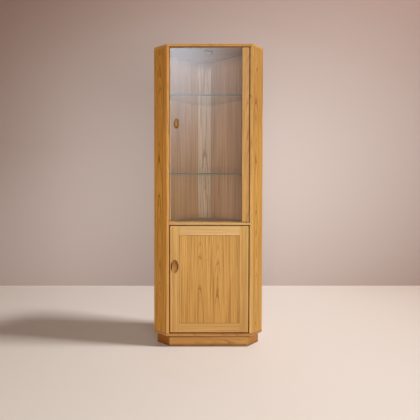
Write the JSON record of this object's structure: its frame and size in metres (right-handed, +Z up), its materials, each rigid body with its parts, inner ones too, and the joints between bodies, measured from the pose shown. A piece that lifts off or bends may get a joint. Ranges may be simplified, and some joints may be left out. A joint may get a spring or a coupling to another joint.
{
  "type": "corner display cabinet",
  "caption": "Tall wooden corner display cabinet on a set-back plinth, with canted sides, a pivot-hung frameless glass door over glass shelves and a panelled cupboard door below.",
  "frame": {"origin": "on the floor, under the middle of the cabinet's box", "axes": "+Z up, +X to the right of a person who faces the doors, +Y back into the room's corner"},
  "size_m": [0.692, 0.3834, 1.88],
  "materials": {
    "board_wood": "oiled, satin",
    "side_wood": "oiled, satin",
    "back_veneer": "veneered, satin",
    "corner_wood": "oiled, satin",
    "plinth_wood": "oiled, satin",
    "door_wood": "oiled, satin",
    "panel_wood": "oiled, satin",
    "pull_wood": "oiled, satin",
    "glass": "clear, polished edges",
    "plated_steel": "nickel plated",
    "brass": "lacquered",
    "dark_plastic": "matt",
    "nylon": "matt",
    "frosted_lens": "frosted"
  },
  "bodies": {
    "carcass": {"top_board": "board_wood", "middle_board": "board_wood", "bottom_board": "board_wood", "side_board_left": "side_wood", "side_board_right": "side_wood", "back_panel_left": "back_veneer", "back_panel_right": "back_veneer", "back_corner_board": "corner_wood", "plinth_front": "plinth_wood", "plinth_side_left": "plinth_wood", "plinth_side_right": "plinth_wood", "plinth_back_left": "plinth_wood", "plinth_back_right": "plinth_wood", "plinth_back_corner": "plinth_wood", "plinth_block_left": "plinth_wood", "plinth_block_right": "plinth_wood", "cupboard_shelf": "board_wood", "glass_shelf_lower": "glass", "glass_shelf_upper": "glass", "lamp_housing": "plated_steel", "lamp_ring": "plated_steel", "lamp_lens": "frosted_lens", "lead_bush": "dark_plastic", "glass_door_stop": "board_wood", "glass_door_socket_top": "brass", "glass_door_socket_bottom": "brass", "glass_door_washer": "nylon", "lower_door_socket_top": "brass", "lower_door_socket_bottom": "brass", "lower_door_washer": "nylon", "door_catch": "dark_plastic", "peg_cupboard_side_left": "brass", "peg_cupboard_side_right": "brass", "peg_cupboard_back_left": "brass", "peg_cupboard_back_right": "brass", "peg_glass_lower_side_left": "brass", "peg_glass_lower_side_right": "brass", "peg_glass_lower_back_left": "brass", "peg_glass_lower_back_right": "brass", "peg_glass_upper_side_left": "brass", "peg_glass_upper_side_right": "brass", "peg_glass_upper_back_left": "brass", "peg_glass_upper_back_right": "brass"},
    "glass_door": {"glass_door_stile": "door_wood", "glass_pane": "glass", "glass_pull_front": "pull_wood", "glass_pull_back": "pull_wood", "glass_pull_screw": "plated_steel", "glass_door_pin_top": "brass", "glass_door_pin_bottom": "brass"},
    "lower_door": {"lower_door_stile_left": "door_wood", "lower_door_stile_right": "door_wood", "lower_door_rail_top": "door_wood", "lower_door_rail_bottom": "door_wood", "lower_door_panel": "panel_wood", "lower_door_pull": "pull_wood", "lower_door_pin_top": "brass", "lower_door_pin_bottom": "brass", "door_strike": "plated_steel"}
  },
  "joints": [
    {"name": "glass_door_hinge", "type": "hinge", "parent": "carcass", "child": "glass_door", "pos_m": [0.23453, -0.17535, 1.3195], "axis": [0, 0, 1], "range_deg": [0, 100]},
    {"name": "lower_door_hinge", "type": "hinge", "parent": "carcass", "child": "lower_door", "pos_m": [0.23453, -0.17535, 0.424], "axis": [0, 0, 1], "range_deg": [0, 100]}
  ]
}
